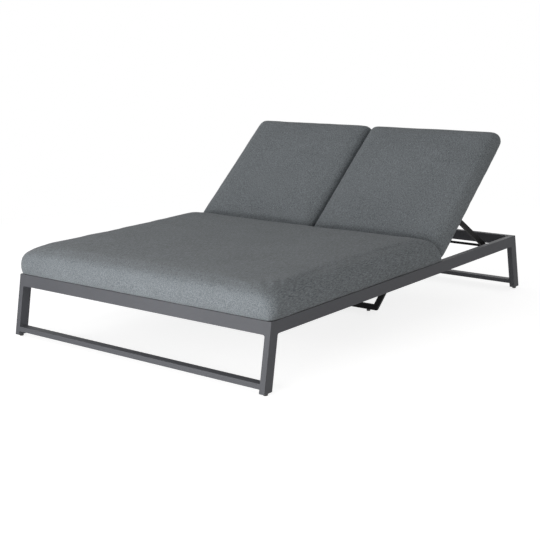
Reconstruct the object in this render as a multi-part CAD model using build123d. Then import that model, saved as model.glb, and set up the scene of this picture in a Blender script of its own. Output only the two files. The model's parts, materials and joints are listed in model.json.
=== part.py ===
from build123d import *
from math import asin, cos, degrees, pi, radians, sin, tan

# A double chaise lounger: one wide powder-coated frame, one seat cushion and two
# backs that recline one by one, each on a prop whose foot bar sits on notched racks.
# Origin on the floor, under the middle of the frame. +X is the right-hand side seen
# from the foot end, +Y points to the head end and +Z up. All lengths in millimetres.

# Frame
frame_width = 1400
frame_length = 1895
frame_height = 270
end_tilt = 11
rail_height = 50
rail_width = 25
tube_wall = 2
leg_depth = 45
leg_clearance = 9
weld_radius = 8
floor_rail_height = 20
floor_rail_depth = 35
floor_rail_clearance = 25

# Rail and support under the hinges
hinge_rail_gap = 22
support_inset = 317
support_lean = 28.5
support_tube_width = 25
support_tube_depth = 15

# Glides
glide_diameter = 18
glide_chamfer = 1.5
glide_stem_diameter = 8
glide_stem_length = 10
support_glide_inset = 48

# Seat deck
slat_count = 7
slat_width = 40
slat_thickness = 10
slat_wall = 1.5

# Backs
recline_angle = 40.5
hinge_to_head = 698.5
deck_rise = 3
back_tube = 25
back_wall = 1.5
back_side_gap = 4
back_frame_start = 19.5
back_frame_end = 670
back_slat_thickness = 8
back_slat_shares = (0.16, 0.30, 0.52, 0.67, 0.82)

# Hinges and bolts
plate_thickness = 5
plate_gap = 1
eye_radius = 9
hinge_leaf_length = 60
leaf_neck_gap = 1
bolt_diameter = 8
bolt_head_diameter = 14
bolt_head_height = 3.5
nut_width = 13
nut_height = 5
running_clearance = 0.05

# Props
prop_pivot_reach = 280
prop_pivot_drop = 22
prop_length = 334
prop_width = 24
prop_thickness = 10
foot_bar_drop = 25
foot_bar_diameter = 12
foot_bar_end_gap = 1

# Racks and rail studs
rack_thickness = 12
rack_height = 15
rack_end = 16
notch_drop = 3
notch_clearance = 0.5
foot_bar_clearance = 0.6
notch_angles = (40.5, 35, 29)
screw_diameter = 5
screw_head_diameter = 9
screw_head_height = 2
screw_grip = 8
stud_diameter = 8
stud_height = 2.5
stud_shank_diameter = 4
stud_shank_length = 8
stud_to_head = 247.5
stud_edge_gap = 4

# Cushions
cushion_edge_inset = 2
seat_thickness = 122
seat_crown_run = 229
seat_rear_drop = 16
seat_bow_share = 0.3
mitre_gap = 0.5
back_cushion_thickness = 98
back_cushion_start = 17
back_cushion_end = 713
back_cushion_split = 12
# Each row is a layer of a cushion: its height, then how far its sides, far end and
# near end stand in from the base outline, then its corner radius, all as shares of
# the cushion's thickness.
seat_layer_shares = (
    (0.00, 0.00, 0.00, 0.00, 0.20),
    (0.12, -0.06, -0.06, -0.06, 0.28),
    (0.34, -0.09, -0.09, -0.09, 0.36),
    (0.60, -0.06, -0.06, -0.06, 0.42),
    (0.80, 0.08, 0.08, 0.08, 0.50),
    (0.91, 0.27, 0.27, 0.27, 0.62),
    (0.97, 0.56, 0.56, 0.56, 0.80),
    (1.00, 1.10, 1.10, 1.10, 1.00),
)
back_layer_shares = (
    (0.00, 0.00, 0.00, 0.00, 0.12),
    (0.14, -0.06, -0.07, 0.00, 0.17),
    (0.38, -0.09, -0.11, 0.00, 0.21),
    (0.62, -0.06, -0.07, 0.02, 0.25),
    (0.81, 0.06, 0.06, 0.12, 0.33),
    (0.92, 0.22, 0.25, 0.30, 0.46),
    (0.975, 0.52, 0.56, 0.60, 0.68),
    (1.00, 1.10, 1.10, 1.10, 1.00),
)

# Places worked out from the sizes above
half_width = frame_width / 2
half_length = frame_length / 2
rail_inner_x = half_width - rail_width
centre_rail_x = rail_width / 2
rail_low = frame_height - rail_height
tilt_slope = tan(radians(end_tilt))
tilt_stretch = 1 / cos(radians(end_tilt))
pivot_y = half_length - hinge_to_head
pivot_z = frame_height + deck_rise - back_tube / 2
foot_bar_height = frame_height - foot_bar_drop
support_half_width = half_width - support_inset
hinge_rail_rear = pivot_y - hinge_rail_gap
hinge_rail_front = hinge_rail_rear - rail_width
hinge_rail_middle = hinge_rail_rear - rail_width / 2
back_outer_x = rail_inner_x - back_side_gap
back_inner_x = centre_rail_x + back_side_gap
hole_radius = bolt_diameter / 2 + running_clearance
overrun = rail_width


def prism_x(outline, x_low, x_high):
    """A solid with a Y-Z outline, from x_low to x_high."""
    face = make_face(Polyline(*outline, close=True))
    return Pos(x_low, 0, 0) * extrude(Plane.YZ * face, amount=x_high - x_low)


def block(low, high):
    """A box between two opposite corners."""
    size = [b - a for a, b in zip(low, high)]
    middle = [(a + b) / 2 for a, b in zip(low, high)]
    return Pos(*middle) * Box(*size)


def rod_x(radius, x_low, x_high, y=0, z=0):
    """A round bar along X."""
    bar = Cylinder(radius, x_high - x_low, rotation=(0, 90, 0))
    return Pos((x_low + x_high) / 2, y, z) * bar


def hex_x(width, x_low, x_high, y=0, z=0):
    """A hexagon nut along X, by its width across the flats."""
    face = RegularPolygon(width / 2, 6, major_radius=False)
    return Pos(x_low, y, z) * extrude(Plane.YZ * face, amount=x_high - x_low)


def bolt_x(x_head, x_tip, y=0, z=0):
    """A button-headed bolt whose head bears at x_head, with a nut at x_tip."""
    way = 1 if x_tip > x_head else -1
    head_end = x_head - way * bolt_head_height
    nut_start = x_tip - way * nut_height
    head = rod_x(bolt_head_diameter / 2, min(x_head, head_end), max(x_head, head_end), y, z)
    shank = rod_x(bolt_diameter / 2, min(x_head, x_tip), max(x_head, x_tip), y, z)
    nut = hex_x(nut_width, min(nut_start, x_tip), max(nut_start, x_tip), y, z)
    return head + shank + nut


def mirrored(shape):
    """The same piece on the other side of the middle."""
    return mirror(shape, about=Plane.YZ)


def save(name, *solids):
    shape = solids[0] if len(solids) == 1 else Compound(children=list(solids))
    shape.label = name
    export_step(shape, f"parts/{name}.step")


def save_pair(name, shape):
    """A piece on the right (+X) and its twin on the left."""
    save(f"{name}_right", shape)
    save(f"{name}_left", mirrored(shape))


# End frames. They lean outwards towards the floor, so a place on them is found from
# the height.

def end_y(z, depth=0):
    """Distance from the middle to the end frame's outer face at height z, less a depth."""
    return half_length + (frame_height - z) * tilt_slope - depth * tilt_stretch


def tilted_bar(z_low, z_high, depth_out, depth_in, x_low, x_high):
    outline = [
        (end_y(z_low, depth_out), z_low),
        (end_y(z_high, depth_out), z_high),
        (end_y(z_high, depth_in), z_high),
        (end_y(z_low, depth_in), z_low),
    ]
    return prism_x(outline, x_low, x_high)


def end_rail(z_low, z_high, depth):
    """A hollow rail between the legs of the head end."""
    bar = tilted_bar(z_low, z_high, 0, depth, -rail_inner_x, rail_inner_x)
    bore = tilted_bar(
        z_low + tube_wall,
        z_high - tube_wall,
        tube_wall,
        depth - tube_wall,
        -rail_inner_x,
        rail_inner_x,
    )
    return bar - bore


def rail_weld():
    """The weld fillet under the end rail, beside the leg."""
    corner = (rail_inner_x, rail_low)
    on_rail = (rail_inner_x - weld_radius, rail_low)
    on_leg = (rail_inner_x, rail_low - weld_radius)
    short = weld_radius * (1 - cos(pi / 4))
    bend = (rail_inner_x - short, rail_low - short)
    outline = Polyline(on_leg, corner, on_rail) + ThreePointArc(on_rail, bend, on_leg)
    slab = extrude(Plane.XZ * make_face(outline), amount=-frame_length)
    cut = tilted_bar(
        rail_low - weld_radius, rail_low, 0, rail_width, -rail_inner_x, rail_inner_x
    )
    return slab & cut


def side_weld():
    """The weld fillet under the side rail, beside the leg's inner face."""
    angle = radians(90 + end_tilt)
    reach = weld_radius / tan(angle / 2)
    lean = radians(end_tilt)
    corner = (end_y(rail_low, leg_depth), rail_low)
    on_rail = (corner[0] - reach, rail_low)
    on_leg = (corner[0] + reach * sin(lean), rail_low - reach * cos(lean))
    middle = ((on_rail[0] + on_leg[0]) / 2, (on_rail[1] + on_leg[1]) / 2)
    chord = reach * cos(angle / 2)
    depth = weld_radius / sin(angle / 2) - weld_radius
    share = depth / chord
    bend = (
        corner[0] + (middle[0] - corner[0]) * share,
        corner[1] + (middle[1] - corner[1]) * share,
    )
    outline = Polyline(on_leg, corner, on_rail) + ThreePointArc(on_rail, bend, on_leg)
    face = make_face(outline)
    return Pos(rail_inner_x, 0, 0) * extrude(Plane.YZ * face, amount=rail_width)


leg_foot_z = leg_clearance
leg_middle_y = end_y(leg_foot_z, leg_depth / 2)
leg_middle_x = half_width - rail_width / 2


def leg():
    """The head end's right leg, closed at both ends, with a hole for its glide."""
    tube = tilted_bar(leg_foot_z, frame_height, 0, leg_depth, rail_inner_x, half_width)
    bore = tilted_bar(
        leg_foot_z + tube_wall,
        frame_height - tube_wall,
        tube_wall,
        leg_depth - tube_wall,
        rail_inner_x + tube_wall,
        half_width - tube_wall,
    )
    hole = Cylinder(glide_stem_diameter / 2 + running_clearance, 2 * overrun)
    hole = Pos(leg_middle_x, leg_middle_y, leg_foot_z) * hole
    below_bore = block(
        (rail_inner_x, 0, 0), (half_width, frame_length, leg_foot_z + 2 * tube_wall)
    )
    return tube - bore - (hole & below_bore) + rail_weld() + side_weld()


def glide(x, y):
    """A round plastic glide with its stem."""
    disc = Cylinder(glide_diameter / 2, leg_clearance, align=(Align.CENTER, Align.CENTER, Align.MIN))
    disc = chamfer(disc.edges().sort_by(Axis.Z)[0], glide_chamfer)
    stem = Cylinder(
        glide_stem_diameter / 2,
        glide_stem_length,
        align=(Align.CENTER, Align.CENTER, Align.MIN),
    )
    return Pos(x, y, 0) * (disc + Pos(0, 0, leg_clearance) * stem)


right_leg = leg()
top_rail = end_rail(rail_low, frame_height, rail_width)
floor_rail = end_rail(
    floor_rail_clearance, floor_rail_clearance + floor_rail_height, floor_rail_depth
)
save_pair("head_leg", right_leg)
save_pair("foot_leg", mirror(right_leg, about=Plane.XZ))
save("head_top_rail", top_rail)
save("foot_top_rail", mirror(top_rail, about=Plane.XZ))
save("head_floor_rail", floor_rail)
save("foot_floor_rail", mirror(floor_rail, about=Plane.XZ))


# Lengthwise rails

def side_rail():
    """A hollow side rail, cut to the slope of the legs at both ends."""

    def outline(z_low, z_high):
        return [
            (-end_y(z_low, leg_depth), z_low),
            (end_y(z_low, leg_depth), z_low),
            (end_y(z_high, leg_depth), z_high),
            (-end_y(z_high, leg_depth), z_high),
        ]

    rail = prism_x(outline(rail_low, frame_height), rail_inner_x, half_width)
    bore = prism_x(
        outline(rail_low + tube_wall, frame_height - tube_wall),
        rail_inner_x + tube_wall,
        half_width - tube_wall,
    )
    rack_holes = [
        rod_x(screw_diameter / 2 + running_clearance, rail_inner_x - tube_wall,
              rail_inner_x + 2 * tube_wall, y, rack_screw_z)
        for y in rack_screw_ys
    ]
    stud_hole = Pos(stud_x, stud_y, frame_height) * Cylinder(
        stud_shank_diameter / 2 + running_clearance, 3 * tube_wall
    )
    return rail - bore - rack_holes - stud_hole


def centre_rail_seat():
    """The rail under the slats, from the foot rail to the hinge rail."""
    top = frame_height - slat_thickness
    outline = [
        (-end_y(rail_low, rail_width), rail_low),
        (hinge_rail_front, rail_low),
        (hinge_rail_front, top),
        (-end_y(top, rail_width), top),
    ]
    bore_low = rail_low + tube_wall
    bore_top = top - tube_wall
    bore = [
        (-end_y(bore_low, rail_width), bore_low),
        (hinge_rail_front, bore_low),
        (hinge_rail_front, bore_top),
        (-end_y(bore_top, rail_width), bore_top),
    ]
    bar = prism_x(outline, -centre_rail_x, centre_rail_x)
    return bar - prism_x(bore, tube_wall - centre_rail_x, centre_rail_x - tube_wall)


def centre_rail_head():
    """The rail between the two backs, from the hinge rail to the head rail."""

    def outline(z_low, z_high):
        return [
            (hinge_rail_rear, z_low),
            (end_y(z_low, rail_width), z_low),
            (end_y(z_high, rail_width), z_high),
            (hinge_rail_rear, z_high),
        ]

    bar = prism_x(outline(rail_low, frame_height), -centre_rail_x, centre_rail_x)
    bore = prism_x(
        outline(rail_low + tube_wall, frame_height - tube_wall),
        tube_wall - centre_rail_x,
        centre_rail_x - tube_wall,
    )
    holes = [
        rod_x(screw_diameter / 2 + running_clearance, -rail_width, rail_width, y, rack_screw_z)
        for y in rack_screw_ys
    ]
    return bar - bore - holes


# The prop swings under its back. The back's tilt and the prop's tilt keep one ratio,
# so the foot bar follows the racks from the top notch down to flat.

def turned(along, across, angle):
    """A place in a back's own plane, after the back is raised by an angle."""
    a = radians(angle)
    return (
        pivot_y + along * cos(a) - across * sin(a),
        pivot_z + along * sin(a) + across * cos(a),
    )


prop_pivot_y, prop_pivot_z = turned(prop_pivot_reach, -prop_pivot_drop, recline_angle)
prop_dip = degrees(asin((prop_pivot_z - foot_bar_height) / prop_length))
prop_fold = recline_angle + prop_dip
fold_ratio = prop_fold / recline_angle


def foot_bar_at(angle):
    """Where the foot bar is when the back stands at an angle."""
    y, z = turned(prop_pivot_reach, -prop_pivot_drop, angle)
    dip = radians(prop_fold - (recline_angle - angle) * fold_ratio - angle)
    return y + prop_length * cos(dip), z - prop_length * sin(dip)


notches = [foot_bar_at(angle) for angle in notch_angles]
rack_drop = foot_bar_diameter / 2 + foot_bar_clearance
rack_tops = [(y, z - rack_drop) for y, z in notches]
rack_low = min(z for y, z in rack_tops) - rack_height
rack_screw_z = rack_low + rack_height / 3
rack_screw_ys = [
    (notches[0][0] + notches[1][0]) / 2,
    (notches[1][0] + notches[2][0]) / 2,
]
stud_x = rail_inner_x + stud_edge_gap + stud_diameter / 2
stud_y = half_length - stud_to_head


def rack(x_low, x_high):
    """A notched strip that the foot bar's end rests on."""
    first, last = rack_tops[0], rack_tops[-1]
    slope = (last[1] - rack_tops[-2][1]) / (last[0] - rack_tops[-2][0])
    outline = [
        (first[0] - rack_end, rack_low),
        (first[0] - rack_end, first[1]),
        *rack_tops,
        (last[0] + rack_end, last[1] + slope * rack_end * 2),
        (last[0] + rack_end, rack_low),
    ]
    strip = prism_x(outline, x_low, x_high)
    radius = foot_bar_diameter / 2 + notch_clearance
    cuts = [rod_x(radius, x_low - overrun, x_high + overrun, y, z - notch_drop) for y, z in notches]
    holes = [
        rod_x(screw_diameter / 2 + running_clearance, x_low - overrun, x_high + overrun,
              y, rack_screw_z)
        for y in rack_screw_ys
    ]
    return strip - cuts - holes


def rack_screws(x_face, way):
    """Two pan-headed screws through a rack; way is the side its head stands on."""
    screws = []
    for y in rack_screw_ys:
        head_end = x_face + way * screw_head_height
        tip = x_face - way * (rack_thickness + screw_grip)
        head = rod_x(screw_head_diameter / 2, min(x_face, head_end), max(x_face, head_end),
                     y, rack_screw_z)
        shank = rod_x(screw_diameter / 2, min(x_face, tip), max(x_face, tip), y, rack_screw_z)
        screws.append(head + shank)
    return screws


rail_right = side_rail()
save_pair("side_rail", rail_right)
save("centre_rail_seat", centre_rail_seat())
save("centre_rail_head", centre_rail_head())
save_pair("rack_outer", rack(rail_inner_x - rack_thickness, rail_inner_x))
save_pair("rack_inner", rack(centre_rail_x, centre_rail_x + rack_thickness))
outer_screws = rack_screws(rail_inner_x - rack_thickness, -1)
inner_screws = rack_screws(centre_rail_x + rack_thickness, 1)
right_screws = outer_screws + inner_screws
save("rack_screws", *right_screws, *[mirrored(screw) for screw in right_screws])

stud_head = Cylinder(stud_diameter / 2, stud_height, align=(Align.CENTER, Align.CENTER, Align.MIN))
stud_head = fillet(stud_head.edges().sort_by(Axis.Z)[-1], stud_height / 2)
stud_shank = Cylinder(
    stud_shank_diameter / 2, stud_shank_length, align=(Align.CENTER, Align.CENTER, Align.MAX)
)
stud = Pos(stud_x, stud_y, frame_height) * (stud_head + stud_shank)
save("rail_studs", stud, mirrored(stud))


# Hinge rail and middle support

def hinge_rail():
    bar = block(
        (-rail_inner_x, hinge_rail_front, rail_low), (rail_inner_x, hinge_rail_rear, frame_height)
    )
    bore = block(
        (-rail_inner_x, hinge_rail_front + tube_wall, rail_low + tube_wall),
        (rail_inner_x, hinge_rail_rear - tube_wall, frame_height - tube_wall),
    )
    return bar - bore


support_slope = tan(radians(support_lean))
support_stretch = 1 / cos(radians(support_lean))
support_inner_step = support_tube_width * (support_stretch - support_slope)
mitre_slope = support_inner_step / support_tube_width
support_y = hinge_rail_middle


def support_edge(z, inset):
    """How far out the leaning leg's edge is at height z, after an inset."""
    return support_half_width + (z - leg_clearance) * support_slope - inset * support_stretch


def support_mitre(inset):
    """The point of the mitre at an inset from the outer edge."""
    rise = inset * support_stretch / (support_slope + mitre_slope)
    return support_half_width - rise * mitre_slope, leg_clearance + rise


def slab_xz(outline, depth):
    """A solid with an X-Z outline, centred on the support's plane."""
    face = make_face(Polyline(*outline, close=True))
    return Pos(0, support_y + depth / 2, 0) * extrude(Plane.XZ * face, amount=depth)


def support_leg():
    def outline(inset_out, inset_in):
        return [
            support_mitre(inset_out),
            (support_edge(rail_low, inset_out), rail_low),
            (support_edge(rail_low, inset_in), rail_low),
            support_mitre(inset_in),
        ]

    bar = slab_xz(outline(0, support_tube_width), support_tube_depth)
    bore = slab_xz(
        outline(tube_wall, support_tube_width - tube_wall), support_tube_depth - 2 * tube_wall
    )
    return bar - bore


def support_floor_rail():
    def outline(inset_out, inset_in):
        low = support_mitre(inset_out)
        high = support_mitre(inset_in)
        return [(-low[0], low[1]), low, high, (-high[0], high[1])]

    bar = slab_xz(outline(0, support_tube_width), support_tube_depth)
    bore = slab_xz(
        outline(tube_wall, support_tube_width - tube_wall), support_tube_depth - 2 * tube_wall
    )
    holes = [
        Pos(x, support_y, leg_clearance)
        * Cylinder(glide_stem_diameter / 2 + running_clearance, 3 * tube_wall)
        for x in (-support_glide_x, support_glide_x)
    ]
    return bar - bore - holes


support_glide_x = support_half_width - support_glide_inset
save("hinge_rail", hinge_rail())
save_pair("support_leg", support_leg())
save("support_floor_rail", support_floor_rail())
glides = [
    glide(x, y) for x in (-leg_middle_x, leg_middle_x) for y in (-leg_middle_y, leg_middle_y)
]
glides += [glide(x, support_y) for x in (-support_glide_x, support_glide_x)]
save("glides", *glides)


# Seat deck

def deck_slat(y):
    """A hollow slat across the whole seat, its top level with the rails."""
    low = (-rail_inner_x, y - slat_width / 2, frame_height - slat_thickness)
    high = (rail_inner_x, y + slat_width / 2, frame_height)
    bore_low = (low[0], low[1] + slat_wall, low[2] + slat_wall)
    bore_high = (high[0], high[1] - slat_wall, high[2] - slat_wall)
    return block(low, high) - block(bore_low, bore_high)


deck_start = -end_y(frame_height, rail_width)
slat_pitch = (hinge_rail_front - deck_start) / (slat_count + 1)
for number in range(1, slat_count + 1):
    save(f"seat_slat_{number}", deck_slat(deck_start + number * slat_pitch))


# Hinges between the frame and the backs. The inner hinge is beside the centre rail
# and the outer one beside the side rail.

def eye_plate(x_low, x_high, start, end):
    """A plate along Y with a round eye at y = z = 0."""
    plate = block((x_low, start, -eye_radius), (x_high, end, eye_radius))
    eye = rod_x(eye_radius, x_low, x_high)
    return plate + eye - rod_x(hole_radius, x_low - overrun, x_high + overrun)


leaf_outer_x = back_outer_x - back_tube
leaf_inner_x = back_inner_x + back_tube
bracket_step = plate_thickness + plate_gap
at_hinge = Pos(0, pivot_y, pivot_z)

bracket_outer = at_hinge * eye_plate(
    leaf_outer_x - bracket_step - plate_thickness, leaf_outer_x - bracket_step, -hinge_rail_gap, 0
)
bracket_inner = at_hinge * eye_plate(
    leaf_inner_x + bracket_step, leaf_inner_x + bracket_step + plate_thickness, -hinge_rail_gap, 0
)
hinge_grip = bracket_step + plate_thickness
bolt_outer = at_hinge * bolt_x(leaf_outer_x, leaf_outer_x - hinge_grip - nut_height)
bolt_inner = at_hinge * bolt_x(leaf_inner_x, leaf_inner_x + hinge_grip + nut_height)
save_pair("hinge_bracket_outer", bracket_outer)
save_pair("hinge_bracket_inner", bracket_inner)
save("hinge_bolts", bolt_outer, bolt_inner, mirrored(bolt_outer), mirrored(bolt_inner))


# Backs. Each is made lying flat with its hinge on the X axis, then raised.

raised = Pos(0, pivot_y, pivot_z) * Rot(recline_angle, 0, 0)
half_tube = back_tube / 2


def back_tube_along(x_low, vent_shift):
    """A side tube of the back's frame, closed at its ends, with a vent hole in its side."""
    low = (x_low, back_frame_start, -half_tube)
    high = (x_low + back_tube, back_frame_end, half_tube)
    bore_low = [value + back_wall for value in low]
    bore_high = [value - back_wall for value in high]
    vent = rod_x(bolt_diameter / 2, x_low - overrun, x_low + half_tube, prop_pivot_reach)
    vent = Pos(vent_shift, 0, 0) * vent & block(low, high)
    return block(low, high) - block(bore_low, bore_high) - vent


def back_tube_across(start):
    """A cross tube of the back's frame, open where it meets the side tubes."""
    low = (leaf_inner_x, start, -half_tube)
    high = (leaf_outer_x, start + back_tube, half_tube)
    bore_low = (low[0], low[1] + back_wall, low[2] + back_wall)
    bore_high = (high[0], high[1] - back_wall, high[2] - back_wall)
    return block(low, high) - block(bore_low, bore_high)


def back_slats():
    slats = []
    for share in back_slat_shares:
        y = back_frame_start + share * (back_frame_end - back_frame_start)
        low = (leaf_inner_x, y - slat_width / 2, half_tube - back_slat_thickness)
        high = (leaf_outer_x, y + slat_width / 2, half_tube)
        bore_low = (low[0], low[1] + slat_wall, low[2] + slat_wall)
        bore_high = (high[0], high[1] - slat_wall, high[2] - slat_wall)
        slats.append(raised * (block(low, high) - block(bore_low, bore_high)))
    return slats


def hinge_leaf(x_low):
    """A leaf on the side tube, with a neck that stays under the seat cushion to its eye."""
    lean = radians(recline_angle)
    neck_start = (eye_radius * sin(lean), eye_radius * cos(lean))
    neck_end = back_cushion_start - mitre_gap + leaf_neck_gap
    neck_low = (eye_radius - neck_end * sin(lean)) / cos(lean)
    outline = [
        (0, -eye_radius),
        (hinge_leaf_length, -eye_radius),
        (hinge_leaf_length, eye_radius),
        (neck_end, eye_radius),
        (neck_end, neck_low),
        neck_start,
        (0, 0),
    ]
    x_high = x_low + plate_thickness
    plate = prism_x(outline, x_low, x_high) + rod_x(eye_radius, x_low, x_high)
    return raised * (plate - rod_x(hole_radius, x_low - overrun, x_high + overrun))


def prop_lug(x_low):
    """A plate welded inside the side tube, with the prop's eye below the frame."""
    x_high = x_low + plate_thickness
    half = prop_width / 2
    plate = block(
        (x_low, prop_pivot_reach - half, -prop_pivot_drop),
        (x_high, prop_pivot_reach + half, half_tube - back_slat_thickness),
    )
    eye = rod_x(half, x_low, x_high, prop_pivot_reach, -prop_pivot_drop)
    hole = rod_x(hole_radius, x_low - overrun, x_high + overrun, prop_pivot_reach, -prop_pivot_drop)
    return raised * (plate + eye - hole)


save_pair("back_side_tube_outer", raised * back_tube_along(leaf_outer_x, 0))
save_pair("back_side_tube_inner", raised * back_tube_along(back_inner_x, half_tube))
save_pair("back_lower_tube", raised * back_tube_across(hinge_leaf_length))
save_pair("back_upper_tube", raised * back_tube_across(back_frame_end - back_tube))
right_slats = back_slats()
save("back_slats_right", *right_slats)
save("back_slats_left", *[mirrored(slat) for slat in right_slats])
right_leaves = [hinge_leaf(leaf_outer_x - plate_thickness), hinge_leaf(leaf_inner_x)]
save("hinge_leaves_right", *right_leaves)
save("hinge_leaves_left", *[mirrored(leaf) for leaf in right_leaves])
right_lugs = [prop_lug(leaf_outer_x - plate_thickness), prop_lug(leaf_inner_x)]
save("prop_lugs_right", *right_lugs)
save("prop_lugs_left", *[mirrored(lug) for lug in right_lugs])


# Props. Each is made along +Y with its pivot on the X axis, then turned to its dip.

at_prop = Pos(0, prop_pivot_y, prop_pivot_z) * Rot(-prop_dip, 0, 0)
arm_outer_x = leaf_outer_x - bracket_step
arm_inner_x = leaf_inner_x + bracket_step


def prop_arm(x_low):
    x_high = x_low + prop_thickness
    half = prop_width / 2
    bar = block((x_low, 0, -half), (x_high, prop_length, half))
    ends = rod_x(half, x_low, x_high) + rod_x(half, x_low, x_high, prop_length)
    pivot = rod_x(hole_radius, x_low - overrun, x_high + overrun)
    foot = rod_x(
        foot_bar_diameter / 2 + running_clearance, x_low - overrun, x_high + overrun, prop_length
    )
    return at_prop * (bar + ends - pivot - foot)


foot_bar = at_prop * rod_x(
    foot_bar_diameter / 2,
    centre_rail_x + foot_bar_end_gap,
    rail_inner_x - foot_bar_end_gap,
    prop_length,
)
save_pair("prop_arm_outer", prop_arm(arm_outer_x - prop_thickness))
save_pair("prop_arm_inner", prop_arm(arm_inner_x))
save_pair("prop_foot_bar", foot_bar)
prop_bolt_outer = at_prop * bolt_x(arm_outer_x - prop_thickness, leaf_outer_x + nut_height)
prop_bolt_inner = at_prop * bolt_x(arm_inner_x + prop_thickness, leaf_inner_x - nut_height)
save("prop_bolts_right", prop_bolt_outer, prop_bolt_inner)
save("prop_bolts_left", mirrored(prop_bolt_outer), mirrored(prop_bolt_inner))


# Cushions, as layers of a rounded outline from the base up to the crown

def cushion(x_low, x_high, y_low, y_high, thickness, layer_shares):
    layers = []
    for height, sides, far_end, near_end, corner in layer_shares:
        width = x_high - x_low - 2 * sides * thickness
        start = y_low + near_end * thickness
        end = y_high - far_end * thickness
        outline = RectangleRounded(width, end - start, corner * thickness)
        place = Pos((x_low + x_high) / 2, (start + end) / 2, height * thickness)
        layers.append(place * outline)
    return loft(layers)


def seat_cushion():
    """The wide seat cushion, with its rear end cut back to meet the raised backs."""
    side = half_width - cushion_edge_inset
    foot = cushion_edge_inset - half_length
    whole = cushion(-side, side, foot, pivot_y + seat_thickness, seat_thickness, seat_layer_shares)
    whole = Pos(0, 0, frame_height) * whole
    lean = radians(recline_angle)
    end_along = back_cushion_start - mitre_gap
    top = frame_height + seat_thickness

    def mitre_y(z):
        return pivot_y + (end_along - (z - pivot_z) * sin(lean)) / cos(lean)

    edge_z = top - seat_rear_drop
    edge = (mitre_y(edge_z), edge_z)
    start = (pivot_y - seat_crown_run, top)
    bow = ((start[0] + edge[0]) / 2, top - seat_rear_drop * seat_bow_share)
    low = (mitre_y(frame_height), frame_height)
    front = (-frame_length, frame_height)
    sky = (-frame_length, top + seat_thickness)
    above = (start[0], top + seat_thickness)
    outline = Polyline(edge, low, front, sky, above, start) + ThreePointArc(start, bow, edge)
    keep = extrude(Plane.YZ * make_face(outline), amount=frame_width, both=True)
    return whole & keep


def back_cushion():
    shape = cushion(
        back_cushion_split,
        half_width - cushion_edge_inset,
        back_cushion_start,
        back_cushion_end,
        back_cushion_thickness,
        back_layer_shares,
    )
    return raised * (Pos(0, 0, half_tube) * shape)


save("seat_cushion", seat_cushion())
save_pair("back_cushion", back_cushion())

print("back hinge at", round(pivot_y, 3), round(pivot_z, 3))
print("prop pivot at", round(prop_pivot_y, 3), round(prop_pivot_z, 3))
print("prop dip", round(prop_dip, 3), "fold", round(prop_fold, 3), "ratio", round(fold_ratio, 4))
print("foot bar on the racks at", [(round(y, 1), round(z, 1)) for y, z in notches])
print("foot bar when flat at", [round(value, 1) for value in foot_bar_at(0)])
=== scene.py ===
# %% [markdown]
# # A double chaise lounger
# The object is a wide garden lounger for two: a powder-coated tube frame, one broad seat
# cushion, and two backs that recline one by one on props. The frame's metal comes ready
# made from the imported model, so this lesson gives it paint, and sews the three cushions.

# %% Load the frame
import json
import math

import bmesh
import bpy
from mathutils import Matrix, Vector, noise


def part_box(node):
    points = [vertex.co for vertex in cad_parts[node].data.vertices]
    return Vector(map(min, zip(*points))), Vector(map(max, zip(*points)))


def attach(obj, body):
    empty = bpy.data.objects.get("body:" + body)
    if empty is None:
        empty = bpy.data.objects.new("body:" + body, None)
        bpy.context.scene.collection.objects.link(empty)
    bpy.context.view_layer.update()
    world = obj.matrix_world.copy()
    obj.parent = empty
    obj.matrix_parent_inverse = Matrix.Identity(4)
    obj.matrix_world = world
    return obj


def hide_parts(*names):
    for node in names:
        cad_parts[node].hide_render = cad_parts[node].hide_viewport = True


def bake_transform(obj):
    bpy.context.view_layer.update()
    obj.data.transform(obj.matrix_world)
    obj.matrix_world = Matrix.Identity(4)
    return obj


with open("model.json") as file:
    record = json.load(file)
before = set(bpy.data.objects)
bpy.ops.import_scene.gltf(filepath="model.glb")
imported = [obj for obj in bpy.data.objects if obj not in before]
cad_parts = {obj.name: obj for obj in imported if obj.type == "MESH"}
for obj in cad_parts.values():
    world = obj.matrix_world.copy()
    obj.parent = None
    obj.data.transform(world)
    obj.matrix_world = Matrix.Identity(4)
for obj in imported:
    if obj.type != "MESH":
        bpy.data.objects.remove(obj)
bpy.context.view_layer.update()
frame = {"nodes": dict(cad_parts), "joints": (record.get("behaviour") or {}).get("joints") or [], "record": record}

# %% [markdown]
# The hinge of the right back tells how the backs stand. A point on a back is easiest to
# think of as a distance along the back from its hinge, and a height above its tubes.

# %% Places taken from the frame
mm = 0.001
joints = {joint["name"]: joint for joint in frame["joints"]}
hinge = Vector(joints["back_recline_right"]["pos_m"])
recline = math.radians(-joints["back_recline_right"]["range_deg"][0])
along = Vector((0, math.cos(recline), math.sin(recline)))
across = Vector((0, -math.sin(recline), math.cos(recline)))
rail_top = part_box("side_rail_right")[1][2]
print("recline", round(math.degrees(recline), 1), "hinge at", [round(v, 4) for v in hinge])

# %% [markdown]
# Shader maths reads best as plain expressions. This small class wraps a node's socket, so
# that `a * b + 0.2` adds the Math nodes by itself, and `node` makes any other node.


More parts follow.
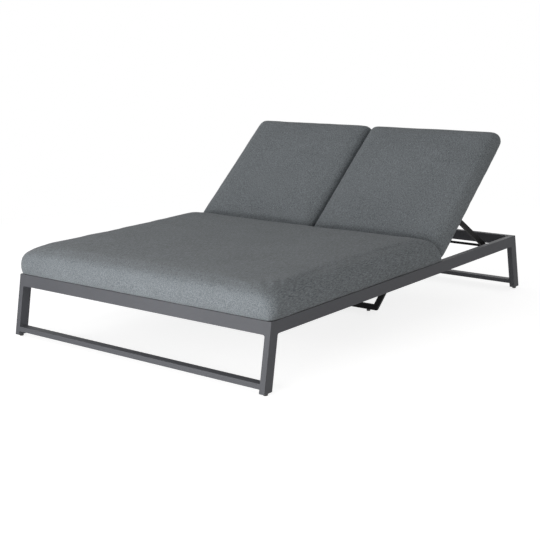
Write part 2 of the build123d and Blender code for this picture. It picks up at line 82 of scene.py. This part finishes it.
# %% A material writer
class Value:
    """A socket that can be used in an expression."""

    def __init__(self, material, socket):
        self.material = material
        self.socket = socket

    def maths(self, operation, first, second=0.0):
        return self.material.node("ShaderNodeMath", {"operation": operation}, [first, second])

    def __add__(self, other):
        return self.maths("ADD", self, other)

    def __radd__(self, other):
        return self.maths("ADD", other, self)

    def __sub__(self, other):
        return self.maths("SUBTRACT", self, other)

    def __rsub__(self, other):
        return self.maths("SUBTRACT", other, self)

    def __mul__(self, other):
        return self.maths("MULTIPLY", self, other)

    def __rmul__(self, other):
        return self.maths("MULTIPLY", other, self)

    def wave(self):
        return self.maths("SINE", self)

    def clamp(self):
        return self.maths("MINIMUM", self.maths("MAXIMUM", self, 0.0), 1.0)


class Material:
    """A node material with one shader, built by short calls."""

    def __init__(self, name):
        self.data = bpy.data.materials.new(name)
        self.data.use_nodes = True
        self.tree = self.data.node_tree
        self.tree.nodes.clear()
        self.shader = self.tree.nodes.new("ShaderNodeBsdfPrincipled")
        self.output = self.tree.nodes.new("ShaderNodeOutputMaterial")
        self.tree.links.new(self.shader.outputs["BSDF"], self.output.inputs["Surface"])
        self.place = self.node("ShaderNodeTexCoord", {}, [], "Object")

    def fill(self, socket, value):
        if isinstance(value, Value):
            self.tree.links.new(value.socket, socket)
        else:
            socket.default_value = value

    def node(self, kind, settings, inputs, output=0):
        made = self.tree.nodes.new(kind)
        for key, setting in settings.items():
            setattr(made, key, setting)
        pairs = inputs.items() if isinstance(inputs, dict) else enumerate(inputs)
        for key, value in pairs:
            self.fill(made.inputs[key], value)
        return Value(self, made.outputs[output])

    def set(self, **inputs):
        for key, value in inputs.items():
            label = key.replace("_", " ").title().replace("Ior", "IOR")
            self.fill(self.shader.inputs[label], value)

    def part(self, vector, axis):
        return self.node("ShaderNodeSeparateXYZ", {}, [vector], axis)

    def stretched(self, scale, vector=None):
        return self.node("ShaderNodeMapping", {}, {"Vector": vector or self.place, "Scale": scale})

    def turned(self, angle):
        return self.node("ShaderNodeMapping", {}, {"Vector": self.place, "Rotation": (angle, 0, 0)})

    def noise(self, scale, detail=2.0, rough=0.5, vector=None):
        inputs = {"Vector": vector or self.place, "Scale": scale}
        inputs.update({"Detail": detail, "Roughness": rough})
        return self.node("ShaderNodeTexNoise", {}, inputs, "Fac")

    def mix(self, factor, first, second):
        kind = {"data_type": "RGBA"}
        return self.node("ShaderNodeMix", kind, {0: factor, 6: first, 7: second}, 2)

    def bump(self, height, strength, distance):
        inputs = {"Height": height, "Strength": strength, "Distance": distance}
        normal = self.node("ShaderNodeBump", {}, inputs)
        self.fill(self.shader.inputs["Normal"], normal)


def grey(red, green, blue):
    """A colour given as it looks on a screen, from 0 to 255."""
    linear = []
    for value in (red, green, blue):
        share = value / 255
        linear.append(share / 12.92 if share <= 0.04045 else ((share + 0.055) / 1.055) ** 2.4)
    return (*linear, 1.0)


print("material writer ready")

# %% [markdown]
# ## The cover fabric
# The cushions wear a solution-dyed outdoor cloth. Its threads are spun from light and dark
# fibres, so a plain charcoal cover looks finely speckled from close by and even from far.
# The weave is a basket of warp and weft threads that run along the cushion, so the same
# two sets of thin bars serve as colour and as relief. Slubs, the thicker stretches of a
# thread, show as short streaks along the cover. Object coordinates carry it all, and where
# the piece is a back, the bars and slubs are turned to lie in its plane.


# %% Woven cloth
def woven_cloth(name, dark, light, tilt, streak):
    cloth = Material(name)
    thread = 0.0022
    plane = cloth.turned(-tilt)
    turns = 2 * math.pi / thread
    bars = []
    for axis in (0, 1, 2):
        wobble = cloth.noise(90.0, 1.0) * 0.9
        bars.append((cloth.part(plane, axis) * turns + wobble).wave())
    warp, weft, rise = bars
    weave = (warp * weft + rise * warp * 0.5 + rise * weft * 0.5) * 0.5 + 0.5
    fibre_x = cloth.noise(1.0, 3.0, 0.7, cloth.stretched((260.0, 1700.0, 1700.0)))
    fibre_y = cloth.noise(1.0, 3.0, 0.7, cloth.stretched((1700.0, 260.0, 700.0)))
    melange = fibre_x * 0.5 + fibre_y * 0.5
    flecks = cloth.noise(380.0, 4.0, 0.75)
    slubs = cloth.noise(1.0, 2.0, 0.6, cloth.stretched((340.0, streak, 300.0), plane))
    patches = cloth.noise(5.0, 2.0, 0.5)
    clouds = cloth.noise(28.0, 3.0, 0.6)
    threads = melange * 1.0 + flecks * 1.8 + slubs * 1.4 + weave * 0.2
    tone = (threads + patches * 0.16 + clouds * 0.1 - 1.88).clamp()
    cloth.set(base_color=cloth.mix(tone, dark, light))
    cloth.set(roughness=(0.86 + melange * 0.16 - weave * 0.05).clamp())
    cloth.set(specular_ior_level=0.18)
    cloth.shader.inputs["Sheen Weight"].default_value = 0.12
    cloth.shader.inputs["Sheen Roughness"].default_value = 0.45
    cloth.bump(weave * 0.55 + melange * 0.9 + flecks * 0.5 + clouds * 0.6, 0.35, 0.0011)
    return cloth.data


seat_cloth = woven_cloth("seat_cloth", grey(73, 77, 80), grey(139, 145, 149), 0.0, 60.0)
# The backs' copy of the cloth has slightly lighter colours than the seat's: painted light, standing in for the
# extra light the tilted backs catch.
back_cloth = woven_cloth("back_cloth", grey(75, 79, 82), grey(145, 151, 155), recline, 130.0)
print("cloth", seat_cloth.name, back_cloth.name)

# %% [markdown]
# ## Powder coat, moulded plastic and zinc
# Powder coat is sprayed dry and baked, which leaves a fine orange peel, a soft gloss and
# faint cloudy changes of tone, with a little dust on top. The middle support and the
# props have the same coat in near black. The glides and racks are moulded nylon, and bolts
# and studs are bright zinc with fine turning marks.


# %% Paints, plastic and metal
def powder_coat(name, colour, worn, roughness, gloss=0.2):
    coat = Material(name)
    peel = coat.noise(620.0, 2.0, 0.55)
    fine = coat.noise(2400.0, 2.0, 0.6)
    drift = coat.noise(6.0, 3.0, 0.5)
    speck = coat.noise(1500.0, 1.0, 0.5)
    dust = ((coat.noise(34.0, 5.0, 0.7) - 0.56) * 5.0).clamp() * 0.16
    tone = (drift * 0.55 + speck * 0.3 + dust - 0.18).clamp()
    coat.set(base_color=coat.mix(tone, colour, worn))
    coat.set(roughness=(peel * 0.16 + drift * 0.12 + (roughness - 0.14)).clamp())
    coat.set(specular_ior_level=gloss)
    coat.bump(peel + fine * 0.4, 0.16, 0.0003)
    return coat.data


def moulded_plastic(name, colour, worn):
    nylon = Material(name)
    grain = nylon.noise(1300.0, 3.0, 0.6)
    rub = nylon.noise(60.0, 4.0, 0.65)
    nylon.set(base_color=nylon.mix((rub * 1.4 - 0.4).clamp(), colour, worn))
    nylon.set(roughness=(grain * 0.2 + 0.42).clamp())
    nylon.bump(grain, 0.2, 0.0003)
    return nylon.data


def zinc(name):
    steel = Material(name)
    marks = steel.noise(1.0, 3.0, 0.6, steel.stretched((2600.0, 300.0, 300.0)))
    bloom = steel.noise(120.0, 3.0, 0.6)
    dull = grey(196, 197, 200)
    bright = grey(226, 228, 230)
    steel.set(base_color=steel.mix((bloom * 1.3 - 0.2).clamp(), dull, bright))
    steel.set(metallic=1.0)
    steel.set(roughness=(marks * 0.22 + bloom * 0.1 + 0.16).clamp())
    steel.bump(marks, 0.2, 0.0002)
    return steel.data


finishes = {
    "frame_paint": powder_coat("frame_paint", grey(71, 72, 76), grey(86, 87, 91), 0.55),
    "slat_paint": powder_coat("slat_paint", grey(48, 49, 52), grey(64, 65, 68), 0.55),
    "support_paint": powder_coat("support_paint", grey(12, 12, 13), grey(22, 22, 23), 0.55, 0.08),
    "prop_paint": powder_coat("prop_paint", grey(14, 14, 15), grey(25, 25, 26), 0.5, 0.08),
    "rack_nylon": moulded_plastic("rack_nylon", grey(20, 20, 21), grey(40, 40, 41)),
    "glide_plastic": moulded_plastic("glide_plastic", grey(18, 18, 19), grey(38, 38, 38)),
    "bright_fixings": zinc("bright_fixings"),
}
slot_of = {entry["node"]: entry["material_slot"] for entry in frame["record"]["subparts"]}
painted = 0
for node, thing in frame["nodes"].items():
    finish = finishes.get(slot_of[node])
    if finish:
        thing.data.materials.clear()
        thing.data.materials.append(finish)
        painted += 1
print(painted, "nodes painted")

# %% [markdown]
# ## Cushions
# Each cushion is a foam block in a sewn cover. The frame's own soft solids have the size
# and the crown of the foam, so a copy of each is the block. It is grown or drawn in, and
# meshed evenly, because a simulation needs faces of one size. Then the cover is blown up
# by a cloth simulation with pressure, which fills the panels. A sewn cover can't grow far
# nor shrink, so only the first millimetres of that movement are kept.


# %% Copying the foam
def new_piece(name, mesh, material):
    thing = bpy.data.objects.new(name, mesh)
    bpy.context.scene.collection.objects.link(thing)
    mesh.materials.clear()
    mesh.materials.append(material)
    for face in mesh.polygons:
        face.use_smooth = True
    return thing


def foam_block(node, name, slack, resting):
    """A copy of a soft solid, drawn in by slack where it doesn't rest; below nought it grows."""
    block = bmesh.new()
    block.from_mesh(frame["nodes"][node].data)
    bmesh.ops.remove_doubles(block, verts=block.verts, dist=0.01 * mm)
    bmesh.ops.recalc_face_normals(block, faces=block.faces)
    block.normal_update()
    for vert in block.verts:
        if not resting(vert.co):
            vert.co -= vert.normal * slack
    mesh = bpy.data.meshes.new(name)
    block.to_mesh(mesh)
    block.free()
    return mesh


# %% [markdown]
# The foam's solid has a faint ridge where its crown meets the flat top. Easing runs that
# smooth in zones, the flattest first and most, so that no zone leaves an edge of its own.
# Settling presses the rounded lower edge down on the rails, as the foam's weight does.


# %% Easing and settling
def eased(thing, outward, rests, zones):
    """Runs the broad face smooth, the flattest zone most, so that no zone's edge shows."""
    cover = bmesh.new()
    cover.from_mesh(thing.data)
    for flatness, rounds in zones:
        cover.normal_update()
        facing = [vert for vert in cover.verts if vert.normal.dot(outward) > flatness]
        free = [vert for vert in facing if not rests(vert.co)]
        for turn_number in range(rounds):
            bmesh.ops.smooth_vert(
                cover, verts=free, factor=0.5, use_axis_x=True, use_axis_y=True, use_axis_z=True
            )
    cover.to_mesh(thing.data)
    cover.free()


full_zones = ((0.99, 90), (0.975, 45), (0.95, 18), (0.9, 8), (0.8, 4))


def settled(thing, foot, up, reach):
    """Presses the rounded lower edge down on what carries it, below a height of reach."""
    for vert in thing.data.vertices:
        height = (vert.co - foot).dot(up)
        if height < reach:
            low = max(height, 0.0)
            vert.co += up * (low * low / reach - height)
    thing.data.update()


# %% Sewing and filling
def modified(thing, kind, **settings):
    """Adds a modifier and applies it."""
    with bpy.context.temp_override(object=thing, active_object=thing):
        modifier = thing.modifiers.new(kind.lower(), kind)
        for key, value in settings.items():
            setattr(modifier, key, value)
        bpy.ops.object.modifier_apply(modifier=modifier.name)
    for face in thing.data.polygons:
        face.use_smooth = True


def filled(thing, pressure, cap, hold, frames=18):
    """Blows the cover up with a cloth simulation; hold(point) is how firmly a point stays.

    Of the movement it keeps at most cap, and hardly any inwards, so corners keep their place.
    """
    mesh = thing.data
    before = [vert.co.copy() for vert in mesh.vertices]
    normals = [vert.normal.copy() for vert in mesh.vertices]
    give = 1 * mm
    pins = thing.vertex_groups.new(name="pins")
    for vert in mesh.vertices:
        pins.add([vert.index], hold(vert.co), "REPLACE")
    cloth = thing.modifiers.new("cloth", "CLOTH")
    settings = cloth.settings
    settings.quality = 4
    settings.mass = 0.3
    settings.tension_stiffness = 30
    settings.compression_stiffness = 30
    settings.shear_stiffness = 12
    settings.bending_stiffness = 2.0
    settings.use_pressure = True
    settings.uniform_pressure_force = pressure
    settings.effector_weights.gravity = 0
    settings.vertex_group_mass = "pins"
    settings.pin_stiffness = 1.0
    cloth.collision_settings.use_collision = False
    cloth.point_cache.frame_start = 1
    cloth.point_cache.frame_end = frames
    scene = bpy.context.scene
    for step in range(1, frames + 1):
        scene.frame_set(step)
    shape = thing.evaluated_get(bpy.context.evaluated_depsgraph_get())
    after = [vert.co.copy() for vert in shape.data.vertices]
    thing.modifiers.remove(cloth)
    thing.vertex_groups.remove(pins)
    for vert, old, new, normal in zip(mesh.vertices, before, after, normals):
        move = new - old
        inward = move.dot(normal) + give
        if inward < 0:
            move -= normal * inward
        if move.length > cap:
            move = move.normalized() * cap
        vert.co = old + move
    scene.frame_set(1)
    moves = sorted((new - old).length / mm for old, new in zip(before, after))
    middle = moves[len(moves) // 2]
    most = moves[-1]
    print(thing.name, "would move", round(middle, 1), "mm in the middle, at most", round(most, 1))


def kneaded(thing, amount, size, fixed):
    """Small slow dents, as foam under a cover has where people sat."""
    for vert in thing.data.vertices:
        share = 1.0 - fixed(vert.co)
        if share > 0:
            lump = noise.noise(vert.co / size) + 0.4 * noise.noise(vert.co / (size * 0.37))
            vert.co += vert.normal * lump * amount * share
    thing.data.update()


# %% [markdown]
# The seat's cover is held where it lies on the rails and at its mitred end, which the
# backs lean on. The hem over the rails gets small waves, where the cover is tucked in.


# %% The seat cushion
seat_slack = -2 * mm
seat_mesh = 12 * mm
seat_pressure = 1.2
seat_swell = 7 * mm
seat_roll = 14 * mm
hem_height = 45 * mm
touching = 1.5 * mm
mitre_touching = 2 * mm
straight_up = Vector((0, 0, 1))
deck = Vector((0, 0, rail_top))
mitre_point = hinge + along * 15.5 * mm


def seat_rests(point):
    """True where the cover lies on the deck or along its mitred end."""
    on_deck = point.z < rail_top + touching
    at_mitre = (point - mitre_point).dot(along) > -mitre_touching
    return on_deck or at_mitre


def seat_hold(point):
    return 1.0 if seat_rests(point) else 0.0


def above_hem(point):
    """Rises from nought at the rails to one at the hem's height; one where the cover rests."""
    if seat_rests(point):
        return 1.0
    return min((point.z - rail_top) / hem_height, 1.0)


seat_foam = foam_block("seat_cushion", "seat_cover", seat_slack, seat_rests)
seat = new_piece("seat_cover", seat_foam, seat_cloth)
modified(seat, "REMESH", mode="VOXEL", voxel_size=seat_mesh)
eased(seat, straight_up, seat_rests, full_zones)
filled(seat, seat_pressure, seat_swell, seat_hold)
kneaded(seat, 1.6 * mm, 160 * mm, seat_hold)
kneaded(seat, 2.0 * mm, 38 * mm, above_hem)
settled(seat, deck, straight_up, seat_roll)
modified(seat, "SUBSURF", levels=1, render_levels=1)
print("seat cover has", len(seat.data.polygons), "faces")

# %% [markdown]
# The two back covers are made alike. Meshing rounds their edges and so takes a little off
# their length and height, which plumping gives back.

# %% The back cushions
back_slack = 1 * mm
back_mesh = 9 * mm
back_pressure = 1.0
back_swell = 4 * mm
back_roll = 8 * mm
back_longer = 0.006
back_thicker = 0.02
underside = 12.5 * mm
back_start = 17 * mm


def back_rests(point):
    """True where the cover lies on the tubes or leans on the seat."""
    place = point - hinge
    on_tubes = place.dot(across) < underside + touching
    on_seat = place.dot(along) < back_start + touching
    return on_tubes or on_seat


def back_hold(point):
    return 1.0 if back_rests(point) else 0.0


def plumped(cover):
    """Gives back the length and height that the remesh takes off the rounded edges."""
    for vert in cover.data.vertices:
        place = vert.co - hinge
        longer = max(place.dot(along) - back_start, 0.0) * back_longer
        thicker = max(place.dot(across) - underside, 0.0) * back_thicker
        vert.co += along * longer + across * thicker


def back_cover(side):
    name = f"back_cover_{side}"
    mesh = foam_block(f"back_cushion_{side}", name, back_slack, back_rests)
    cover = new_piece(name, mesh, back_cloth)
    modified(cover, "REMESH", mode="VOXEL", voxel_size=back_mesh)
    eased(cover, across, back_rests, full_zones)
    filled(cover, back_pressure, back_swell, back_hold)
    kneaded(cover, 1.3 * mm, 150 * mm, back_hold)
    plumped(cover)
    settled(cover, hinge + across * underside, across, back_roll)
    modified(cover, "SUBSURF", levels=1, render_levels=1)
    return cover


covers = {side: back_cover(side) for side in ("left", "right")}
print("back covers have", [len(cover.data.polygons) for cover in covers.values()], "faces")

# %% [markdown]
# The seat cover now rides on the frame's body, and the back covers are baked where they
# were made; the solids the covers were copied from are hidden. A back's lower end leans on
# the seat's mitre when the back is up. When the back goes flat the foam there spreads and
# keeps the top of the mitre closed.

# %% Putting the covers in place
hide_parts("seat_cushion")
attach(seat, "frame")
for side, cover in covers.items():
    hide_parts(f"back_cushion_{side}")
    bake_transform(cover)

# %% [markdown]
# ## Floor and light
# The lounger stands in a white studio. A wide low softbox in front lights the foot end
# most and fades towards the backs. One on the left gives the soft shadow at the right,
# one on the right warms the long side, one behind lights the backs' undersides, and a big
# one overhead fills the tops. The pale world closes the rest. The floor is a plain pale
# sheet that shows only soft shadows and turns white with distance.


# %% Floor
def studio_floor():
    """A sheet lit like any other; seen directly it also glows, and far off it is white."""
    sheet = bmesh.new()
    bmesh.ops.create_grid(sheet, x_segments=1, y_segments=1, size=30.0)
    mesh = bpy.data.meshes.new("floor")
    sheet.to_mesh(mesh)
    sheet.free()
    paint = Material("floor_paint")
    paint.set(base_color=(0.5, 0.5, 0.5, 1.0))
    paint.set(roughness=0.9)
    paint.set(specular_ior_level=0.0)
    glow = paint.node("ShaderNodeEmission", {}, {"Color": (1, 1, 1, 1), "Strength": 0.78})
    rays = ("Is Camera Ray", "Is Glossy Ray", "Is Transmission Ray")
    by_camera, by_gloss, by_glass = [paint.node("ShaderNodeLightPath", {}, [], ray) for ray in rays]
    seen = (by_camera + by_gloss + by_glass).clamp()
    both = paint.tree.nodes.new("ShaderNodeAddShader")
    paint.tree.links.new(paint.shader.outputs["BSDF"], both.inputs[0])
    paint.tree.links.new(glow.socket, both.inputs[1])
    white = paint.node("ShaderNodeEmission", {}, {"Color": (1, 1, 1, 1), "Strength": 1.0})
    reach = paint.node("ShaderNodeVectorMath", {"operation": "LENGTH"}, [paint.place], "Value")
    white_from = 1.7
    white_rate = 0.7
    away = ((reach - white_from) * white_rate).clamp()
    fade = paint.tree.nodes.new("ShaderNodeMixShader")
    paint.tree.links.new(away.socket, fade.inputs[0])
    paint.tree.links.new(both.outputs[0], fade.inputs[1])
    paint.tree.links.new(white.socket, fade.inputs[2])
    choice = paint.tree.nodes.new("ShaderNodeMixShader")
    paint.tree.links.new(seen.socket, choice.inputs[0])
    paint.tree.links.new(paint.shader.outputs["BSDF"], choice.inputs[1])
    paint.tree.links.new(fade.outputs[0], choice.inputs[2])
    paint.tree.links.new(choice.outputs[0], paint.output.inputs["Surface"])
    floor = new_piece("floor", mesh, paint.data)


studio_floor()


# %% Lamps and world
def softbox(name, place, aim, width, height, power, colour=(1.0, 1.0, 1.0)):
    data = bpy.data.lights.new(name, "AREA")
    data.shape = "RECTANGLE"
    data.size = width
    data.size_y = height
    data.energy = power
    data.color = colour
    lamp = bpy.data.objects.new(name, data)
    bpy.context.scene.collection.objects.link(lamp)
    lamp.location = place
    lamp.rotation_euler = (Vector(aim) - Vector(place)).to_track_quat("-Z", "Y").to_euler()
    return lamp


softbox("front_box", (0.1, -2.5, 0.45), (0.0, -0.9, 0.3), 2.4, 0.7, 43)
softbox("left_box", (-3.4, -1.8, 2.2), (0, 0, 0.3), 1.6, 1.6, 33)
softbox("top_box", (-0.6, 0.2, 3.4), (0, 0, 0.2), 2.6, 2.6, 6.5)
softbox("right_box", (3.4, -0.9, 0.9), (0.6, 0, 0.25), 2.0, 1.2, 22, (1.0, 0.97, 0.93))
softbox("back_box", (0.4, 3.8, 1.5), (0, 0.5, 0.3), 2.6, 1.4, 22)

world = bpy.data.worlds.new("studio")
world.use_nodes = True
bpy.context.scene.world = world
tree = world.node_tree
tree.nodes.clear()
ambient = tree.nodes.new("ShaderNodeBackground")
ambient.inputs["Strength"].default_value = 0.37
white = tree.nodes.new("ShaderNodeBackground")
white.inputs["Color"].default_value = (1, 1, 1, 1)
white.inputs["Strength"].default_value = 1.0
path = tree.nodes.new("ShaderNodeLightPath")
pick = tree.nodes.new("ShaderNodeMixShader")
out = tree.nodes.new("ShaderNodeOutputWorld")
seen = path.outputs["Is Camera Ray"]
for ray in ("Is Glossy Ray", "Is Transmission Ray"):
    either = tree.nodes.new("ShaderNodeMath")
    either.operation = "MAXIMUM"
    tree.links.new(seen, either.inputs[0])
    tree.links.new(path.outputs[ray], either.inputs[1])
    seen = either.outputs[0]
tree.links.new(seen, pick.inputs[0])
tree.links.new(ambient.outputs[0], pick.inputs[1])
tree.links.new(white.outputs[0], pick.inputs[2])
tree.links.new(pick.outputs[0], out.inputs["Surface"])
print("lights ready")

# %% [markdown]
# ## Camera
# The camera stands at the foot end's right corner, a little above seat height, and is
# turned by just over a degree about its own axis, as the photograph's was.

# %% The photograph's view
azimuth = math.radians(39.132)
elevation = math.radians(12.874)
roll = math.radians(-1.3405)
distance = 5.1367
target = Vector((-0.04308, -0.03498, 0.19313))
toward = Vector(
    (
        math.sin(azimuth) * math.cos(elevation),
        -math.cos(azimuth) * math.cos(elevation),
        math.sin(elevation),
    )
)
level = (-toward).cross(Vector((0, 0, 1))).normalized()
upward = level.cross(-toward)
right = level * math.cos(roll) + upward * math.sin(roll)
upright = upward * math.cos(roll) - level * math.sin(roll)
lens = bpy.data.cameras.new("camera")
lens.lens = 74.08
lens.sensor_width = 36
camera = bpy.data.objects.new("camera", lens)
bpy.context.scene.collection.objects.link(camera)
turn = Matrix((right, upright, toward)).transposed().to_4x4()
camera.matrix_world = Matrix.Translation(target + toward * distance) @ turn
bpy.context.scene.camera = camera
bpy.context.scene.view_settings.view_transform = "Standard"
print("camera at", [round(v, 3) for v in camera.location])
